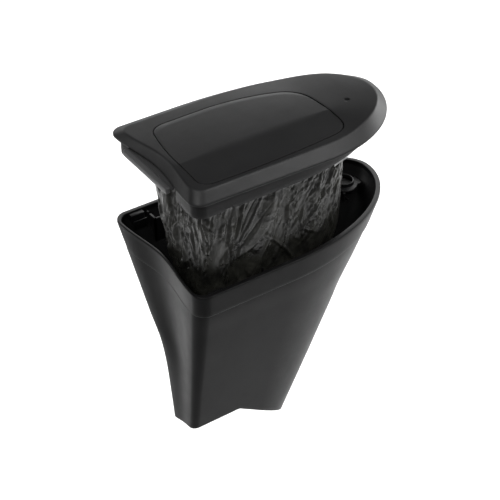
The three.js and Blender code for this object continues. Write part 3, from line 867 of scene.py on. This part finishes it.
# The grip is the lid's plastic; its lighter material is a painted highlight.
grip = build_grip()
smooth(grip, 40)
finish_piece(grip, "ring", "lid_plastic", GRIP_PAINTED_HIGHLIGHT)
ring = build_ring()
smooth(ring, 30)
finish_piece(ring, "ring", "lid_plastic", LID_PLASTIC, "bag_ring")


# ------------------------------------------------------------------ film bag
def film_material(name, dark, light, shine, clear):
    """Thin glossy film, crinkled at two scales; `clear` of it is see-through."""
    material, shader = principled(name, dark, 0.3, Alpha=1 - clear)
    shader.inputs["Specular IOR Level"].default_value = shine
    nodes, links = nodes_of(material)
    tint = noise_node(material, 55, 4, 0.6)
    links.new(ramp(material, tint.outputs["Fac"], [(0.35, dark), (0.68, light)]),
              shader.inputs["Base Color"])
    gloss = noise_node(material, 140, 4, 0.6)
    links.new(remap(material, gloss.outputs["Fac"], 0.18, 0.42), shader.inputs["Roughness"])
    wrinkle = noise_node(material, 420, 4, 0.6, (1, 1, 0.4))
    crackle = nodes.new("ShaderNodeTexVoronoi")
    crackle.feature = "DISTANCE_TO_EDGE"
    crackle.inputs["Scale"].default_value = 230
    bend = noise_node(material, 90, 3)
    mixed = nodes.new("ShaderNodeVectorMath")
    mixed.operation = "MULTIPLY_ADD"
    mixed.inputs[1].default_value = (0.012, 0.012, 0.012)
    coords = nodes.new("ShaderNodeTexCoord")
    links.new(bend.outputs["Color"], mixed.inputs[0])
    links.new(coords.outputs["Object"], mixed.inputs[2])
    links.new(mixed.outputs["Vector"], crackle.inputs["Vector"])
    bump(material, shader, [(wrinkle.outputs["Fac"], 0.22, 0.5),
                            (crackle.outputs["Distance"], 0.2, 0.5)])
    return material


FILM = film_material("bag_film", (0.008, 0.008, 0.007), (0.034, 0.034, 0.028), 0.75, 0.0)
# The hem is the same dark bag film; its pale colour is painted light, the white light seen through
# the thin film.
HEM_PAINTED_LIGHT_FILM = film_material("hem_painted_light_film", (0.55, 0.56, 0.56), (0.75, 0.76, 0.76), 0.5, 0.35)
# The web is the same dark bag film; its pale colour is painted light, the white light seen through
# the thin film.
WEB_PAINTED_LIGHT_FILM = film_material("web_painted_light_film", (0.5, 0.5, 0.5), (0.62, 0.62, 0.62), 0.5, 0.72)
BAG_TOP = RING_Z - 1.0
BAG_DEPTHS = (84.7, 76.5, 70, 58, 30, 0, -26, -48)
BAG_PLANS = (
    plan(20, 190, -59, 34, 4, 10, -10, 126, 104),
    plan(19, 189, -59.3, 30, 3, 10, -12, 126, 102),
    plan(19, 187, -60, 23, 1, 12, -16, 122, 98),
    plan(18, 183, -60, 14, 0, 12, -22, 116, 94),
    plan(18, 173, -59, 1, 0, 12, -28, 106, 86),
    plan(24, 150, -55, -14, 0, 10, -34, 94, 78),
)
BAG_AROUND = 520
BAG_DOWN = 170
FOLDS_START = 77  # the film is held smooth above this height
FOLDS_FULL = 66
SLACK = 0.8  # how far the film hangs inside its smooth shape
FOLD_LIMIT = 2.1  # outward folds keep clear of the shell
DENT_LIMIT = 1.2  # inward folds keep clear of the swinging flap
FRONT_START = 13.3  # where X is 0 along the girth, which starts at the front left corner


def smoothstep(x, low, high):
    """Smooth 0 to 1 between two values."""
    t = np.clip((x - low) / (high - low), 0, 1)
    return t * t * (3 - 2 * t)


def creases(rng, u, v, count, area, angle, length, width, height, dents=0.5):
    """Sum of sharp folds centred in `area` (u0, u1, v0, v1); a share of them are dents."""
    total = np.zeros_like(u)
    for _ in range(count):
        cu, cv = rng.uniform(area[0], area[1]), rng.uniform(area[2], area[3])
        turn = math.radians(rng.uniform(*angle))
        long, wide = rng.uniform(*length), rng.uniform(*width)
        tall = rng.uniform(*height) * (-1 if rng.random() < dents else 1)
        arch = rng.uniform(-0.012, 0.012)
        along = (u - cu) * math.cos(turn) + (v - cv) * math.sin(turn)
        across = (v - cv) * math.cos(turn) - (u - cu) * math.sin(turn) + arch * along ** 2
        near = (np.abs(across) < wide) & (np.abs(along) < 2.2 * long)
        a, c = along[near] / long, np.abs(across[near]) / wide
        total[near] += tall * np.exp(-a * a) * (1 - c)
    return total


def wander(rng, u, v, scale, strength):
    """Slow sums of sines that bend straight folds."""
    out = np.zeros_like(u)
    for _ in range(7):
        a, b = rng.normal(0, 1 / scale, 2)
        out += np.sin(a * u + b * v + rng.uniform(0, 6.28))
    return out * strength / 2.6


def from_line(u, v, x0, v0, x1, v1):
    """(signed distance across, clamped share along) of a line on the front, given by X and Z."""
    u0, u1 = x0 - FRONT_START, x1 - FRONT_START
    long = math.hypot(u1 - u0, v1 - v0)
    along = ((u - u0) * (u1 - u0) + (v - v0) * (v1 - v0)) / long
    across = ((v - v0) * (u1 - u0) - (u - u0) * (v1 - v0)) / long
    past = np.abs(along - long / 2) - long / 2
    return across, np.maximum(past, 0)


def bag_folds(u, v, girth):
    """Height of the film above its smooth shape; u runs round the bag from the front left."""
    rng = np.random.default_rng(11)
    bu = u + wander(rng, u, v, 22, 2.6)
    bv = v + wander(rng, u, v, 22, 2.6)
    whole = (0, girth, -50, 84)
    d = creases(rng, bu, bv, 80, whole, (30, 150), (20, 52), (6, 14), (0.9, 2.4))
    d += creases(rng, bu, bv, 190, whole, (35, 145), (12, 36), (1.8, 4.2), (0.6, 1.8), 0.65)
    d += creases(rng, bu, bv, 420, whole, (0, 180), (4, 13), (0.9, 1.8), (0.2, 0.55), 0.6)
    pleated = (-60, 50, -45, 80)
    for shift in (0, girth):
        d += creases(rng, bu - shift, bv, 170, pleated, (80, 104), (16, 52), (1.2, 3.4),
                     (0.5, 1.8), 0.6)
    fan = (85, 180, 20, 80)
    d += creases(rng, bu, bv, 170, fan, (48, 128), (8, 28), (1.2, 2.8), (0.4, 1.4), 0.6)
    across, past = from_line(u, bv, 85.8, 27.7, 124.4, -7.5)
    d += 2.0 * np.maximum(0, 1 - np.abs(across) / 2.2) * np.exp(-(past / 5) ** 2)
    for line in ((158, 61, 150, 42.6), (150, 42.6, 139.6, 30.5), (139.6, 30.5, 125.5, 18)):
        across, past = from_line(bu, bv, *line)
        step = np.where(across > 0, np.exp(-across / 9), 0) * np.exp(-(past / 3) ** 2)
        d += 1.3 * step
    limit = np.where(d > 0, FOLD_LIMIT, DENT_LIMIT)
    return limit * np.tanh(d / limit)


def build_bag():
    """The bag as one lofted skin that hangs from the ring, folded along its normals."""
    top = inset(RING, RING_WALL + 0.7)
    shapes = [top, inset(top, 0.3)] + [outline(p) for p in BAG_PLANS]
    rings = np.stack([resample(p, BAG_AROUND) for p in shapes])[::-1]
    z = np.linspace(BAG_DEPTHS[-1], BAG_TOP, BAG_DOWN)
    depths = BAG_DEPTHS[::-1]
    stack = np.array([[[smooth_between(h, depths, rings[:, i, k]) for k in (0, 1)]
                       for i in range(BAG_AROUND)] for h in z])
    normals = np.stack([inset(level, -1.0) - level for level in stack])
    widest = rings[4]
    steps = np.linalg.norm(np.diff(widest, axis=0, append=widest[:1]), axis=1)
    u = np.concatenate([[0], np.cumsum(steps)[:-1]])
    grid_u, grid_v = np.meshgrid(u, z)
    d = bag_folds(grid_u, grid_v, float(steps.sum()))
    free = smoothstep(-grid_v, -FOLDS_START, -FOLDS_FULL)
    points = stack + normals * ((d - SLACK) * free)[..., None]
    levels = [at_height(points[j], z[j]) for j in range(BAG_DOWN)]
    bottom = levels[0]
    hub = bottom.mean(0)
    floor_rows = [hub + (bottom - hub) * t - np.array([0, 0, 4 * math.sqrt(1 - t * t)])
                  for t in np.linspace(0.04, 0.98, 14)]
    verts, faces = stitch(floor_rows + levels)
    faces.append(tuple(range(BAG_AROUND))[::-1])
    return new_object("film_bag", verts, faces)


HEM_LOW = 72.6
HEM_HIGH = 78.4


def ribbon(name, lower, upper, rows=5):
    """Open strip between two rows of points."""
    shares = np.linspace(0, 1, rows)[:, None, None]
    verts, faces = stitch(list(lower + (upper - lower) * shares), closed=False)
    return new_object(name, verts, faces)


def build_hem():
    """The film's hem, which hangs below the skirt at the front right; its pale colour is painted
    light, the white light seen through the thin dark film.
    """
    path = inset(outline(SKIRT), SKIRT_WALL + 0.6)
    path = path[(path[:, 1] < -38) & (path[:, 0] > 150)]
    t = np.linspace(0, 1, len(path))
    wave = 0.5 * np.sin(17 * t) * np.sin(math.pi * t)
    low = at_height(path, HEM_LOW + 1.6 * t + wave)
    high = at_height(path, HEM_HIGH)
    return ribbon("bag_hem", low, high)


def build_web():
    """A slack web of film between the grip and the bag's back left edge, pale with painted light: the
    white light seen through the thin dark film.
    """
    t = np.linspace(0, 1, 30)
    high = np.column_stack([15 + 4 * t, 42 - 40 * t, np.full(30, 80.0)])
    low = np.column_stack([15 + 6 * t, 42 - 24 * t, 80 - 24 * t - 9 * np.sin(math.pi * t)])
    return ribbon("bag_web", low, high, 8)


bag = build_bag()
smooth(bag, 60)
finish_piece(bag, "ring", "bag_film", FILM, "bag_liner")
hem, web = build_hem(), build_web()
for film, look in ((hem, HEM_PAINTED_LIGHT_FILM), (web, WEB_PAINTED_LIGHT_FILM)):
    smooth(film, 60)
    finish_piece(film, "ring", "bag_film", look)
for film in (bag, hem, web):
    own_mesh(film)


# ------------------------------------------------------------------ tablet cup and small parts
def speckled(name, dark, light, roughness, scale, relief, metallic=0.0):
    """Matt or metal surface with fine speckle and relief at one scale."""
    material, shader = principled(name, dark, roughness, Metallic=metallic)
    _, links = nodes_of(material)
    speck = noise_node(material, scale, 6, 0.7)
    links.new(ramp(material, speck.outputs["Fac"], [(0.35, dark), (0.7, light)]),
              shader.inputs["Base Color"])
    links.new(remap(material, speck.outputs["Fac"], roughness - 0.1, roughness + 0.1),
              shader.inputs["Roughness"])
    bump(material, shader, [(speck.outputs["Fac"], 0.5, relief)])
    return material


CHARCOAL = speckled("charcoal", (0.008, 0.008, 0.008), (0.03, 0.03, 0.03), 0.85, 900, 0.6)
RUBBER = speckled("seal_rubber", (0.02, 0.02, 0.02), (0.035, 0.035, 0.035), 0.7, 1500, 0.08)
STEEL = speckled("steel", (0.42, 0.42, 0.43), (0.6, 0.6, 0.6), 0.32, 700, 0.03, 1.0)
CUP_PROFILE = (
    (0, -12), (9.0, -12), (10.8, -11), (12.4, -8.4), (13.3, -6.4), (13.4, -5.4), (12.9, -4.7),
    (11.4, -4.3), (9.9, -3.6), (9.5, -2.6), (9.6, -0.9), (9.4, -0.2), (9.0, 0), (8.6, -0.2),
    (8.4, -0.9), (8.5, -3.0), (10.4, -4.8), (10.4, -10.0), (9.8, -10.4), (0, -10.4),
)


def build_cup():
    """A shouldered cup with a narrow mouth, on an arm from the nose, with a small hook below."""
    profile = [(r, CUP_TOP + z) for r, z in CUP_PROFILE]
    cup = lathe("tablet_cup_moulding", profile, *CUP_AT, 80)
    x, y = CUP_AT
    arm = block("arm", x + 9, 237, y - 6, y + 6, CUP_TOP - 10, CUP_TOP - 7)
    stem = block("stem", x - 9, x - 7.4, y - 13, y - 7, CUP_TOP - 17, CUP_TOP - 6)
    foot = block("foot", x - 8.6, x - 4, y - 13, y - 7, CUP_TOP - 17.4, CUP_TOP - 16)
    toe = block("toe", x - 4.8, x - 3.4, y - 13, y - 7, CUP_TOP - 17.4, CUP_TOP - 14)
    pieces = [arm, stem, foot, toe]
    for piece in pieces:
        bevel(piece, 0.35)
    join(cup, pieces)
    return cup


cup = build_cup()
smooth(cup, 35)
finish_piece(cup, "bin", "frame_plastic", FRAME_PLASTIC, "tablet_cup")
TABLET_FOOT = CUP_TOP - 10.1
tablet_profile = [(0, 0), (9.2, 0), (9.8, 0.6), (9.8, 3.9), (9.3, 4.7), (8.4, 5), (5, 4.6),
                  (0, 4.4)]
tablet = lathe("charcoal_disc", [(r, TABLET_FOOT + z) for r, z in tablet_profile], *CUP_AT, 72)
smooth(tablet, 35)
finish_piece(tablet, "bin", "charcoal", CHARCOAL, "charcoal_tablet")
badge_profile = [(0, 0), (2.5, 0), (2.6, 0.1), (2.6, 0.75), (2.4, 0.95), (2.1, 0.95), (1.7, 0.7),
                 (0, 0.6)]
badge = lathe("badge", [(r, SEAT_Z + 0.3 + z) for r, z in badge_profile], *BADGE_AT, 48)
smooth(badge, 30)
finish_piece(badge, "lid", "frame_plastic", FRAME_PLASTIC, "badge_disc")

LID_BOSSES = ((24, 54), (96, 56.5), (168, 44), (212, 6), (187, -40), (96, -63.6))
SCREW_SEAT = LIFT + PLATE_TOP - PLATE_THICK - 0.3


def build_screw(name, x, y):
    """A pan-head screw, driven from below: cross recess, head and rolled thread."""
    head = [(0, -1.6), (1.3, -1.6), (1.95, -1.3), (2.2, -0.7), (2.2, 0), (1.0, 0)]
    thread = [(r, 0.5 + 0.35 * i) for i, r in enumerate([1.0, 1.15] * 11)]
    profile = [(r, SCREW_SEAT + z) for r, z in head + thread + [(0.4, 8.6), (0, 8.8)]]
    screw = lathe(name, profile, x, y, 32)
    low = SCREW_SEAT - 3
    recess = [block("slot", x - 1.2, x + 1.2, y - 0.22, y + 0.22, low, SCREW_SEAT - 0.9),
              block("slot", x - 0.22, x + 0.22, y - 1.2, y + 1.2, low, SCREW_SEAT - 0.9)]
    cut(screw, recess)
    smooth(screw, 35)
    return screw


for number, (x, y) in enumerate(LID_BOSSES, 1):
    screw = build_screw(f"cover_screw_{number}", x, y)
    finish_piece(screw, "lid", "steel", STEEL, f"lid_screw_{number}")

KEPT_NODES = {
    "flap_pin": STEEL, "flap_spring_left": STEEL, "flap_spring_right": STEEL,
    "flap_seal": RUBBER, "hinge_bracket_left": FRAME_PLASTIC, "hinge_bracket_right": FRAME_PLASTIC,
}
for name, look in KEPT_NODES.items():
    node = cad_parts[name]
    for material_slot in node.material_slots:
        material_slot.material = look


# ------------------------------------------------------------------ light, camera and floor
CAMERA_AZIMUTH = -34.155
CAMERA_ELEVATION = 37.465
CAMERA_AT = (-0.56011, -0.75842, 0.7566)
CAMERA_LENS = 97.954
SENSOR_WIDTH = 36
FLOOR_LEVEL = -0.6
OBJECT_MIDDLE = (0.02, 0.07, -0.02)
BEHIND_OBJECT = (0.61, 0.93, FLOOR_LEVEL)
FLOOR_IN_FRONT = (0.47, -0.61, FLOOR_LEVEL)
FLOOR_AT_LEFT = (-0.4, 0.8, FLOOR_LEVEL)
WHITE = (1, 1, 1, 1)
WORLD_STRENGTH = 0.11
FLOOR_REACH = 6


def axes_of(azimuth, elevation):
    """Right, up and back axes of what looks from that direction; azimuth 0 is the front."""
    a, e = math.radians(azimuth), math.radians(elevation)
    right = Vector((math.cos(a), math.sin(a), 0))
    back = Vector((math.sin(a) * math.cos(e), -math.cos(a) * math.cos(e), math.sin(e)))
    return right, back.cross(right), back


def add_camera():
    data = bpy.data.cameras.new("camera")
    data.lens = CAMERA_LENS
    data.sensor_width = SENSOR_WIDTH
    camera = bpy.data.objects.new("camera", data)
    right, up, back = axes_of(CAMERA_AZIMUTH, CAMERA_ELEVATION)
    turn = Matrix((right, up, back)).transposed().to_4x4()
    camera.matrix_world = Matrix.Translation(CAMERA_AT) @ turn
    data.clip_start, data.clip_end = 0.01, 50
    bpy.context.scene.collection.objects.link(camera)
    bpy.context.scene.camera = camera


def add_light(name, azimuth, elevation, distance, size, power, spread=180, target=OBJECT_MIDDLE):
    """A soft box facing a target from an angle and a distance; a smaller spread narrows its beam."""
    data = bpy.data.lights.new(name, "AREA")
    data.shape = "RECTANGLE"
    data.size, data.size_y = size
    data.energy = power
    data.spread = math.radians(spread)
    light = bpy.data.objects.new(name, data)
    right, up, back = axes_of(azimuth, elevation)
    turn = Matrix((right, up, back)).transposed().to_4x4()
    light.matrix_world = Matrix.Translation(Vector(target) + back * distance) @ turn
    bpy.context.scene.collection.objects.link(light)


add_camera()
world = bpy.data.worlds.new("studio")
world.use_nodes = True
world.node_tree.nodes["Background"].inputs["Color"].default_value = WHITE
world.node_tree.nodes["Background"].inputs["Strength"].default_value = WORLD_STRENGTH
bpy.context.scene.world = world
bpy.context.scene.view_settings.view_transform = "Standard"
add_light("floor_panel", CAMERA_AZIMUTH, 90, 0.75, (1.4, 1.8), 22, target=BEHIND_OBJECT)
add_light("right_box", 90, 7, 1.5, (1.1, 0.5), 8.5)
add_light("front_right_box", 41, 49, 1.6, (1.0, 0.7), 1.7, 70)
add_light("front_left_box", -58, 49, 1.6, (0.8, 0.8), 1.3, 70)
add_light("front_floor_light", 0, 90, 0.55, (0.7, 0.5), 0.75, 90, FLOOR_IN_FRONT)
add_light("left_floor_light", 0, 90, 0.4, (0.4, 0.4), 0.35, 60, FLOOR_AT_LEFT)
add_light("left_box", -131, 4, 1.5, (0.7, 0.3), 1.5)


def add_floor():
    """A wide pale floor, faintly cloudy."""
    material, shader = principled("floor", grey(0.95), 0.9)
    cloudy = noise_node(material, 3, 2)
    tone = ramp(material, cloudy.outputs["Fac"], [(0.0, grey(0.94)), (1.0, grey(0.96))])
    material.node_tree.links.new(tone, shader.inputs["Base Color"])
    signs = ((-1, -1), (1, -1), (1, 1), (-1, 1))
    corners = [(x * FLOOR_REACH, y * FLOOR_REACH, FLOOR_LEVEL) for x, y in signs]
    ground = new_object("floor", corners, [(0, 1, 2, 3)], in_row=True)
    ground.data.materials.append(material)


add_floor()
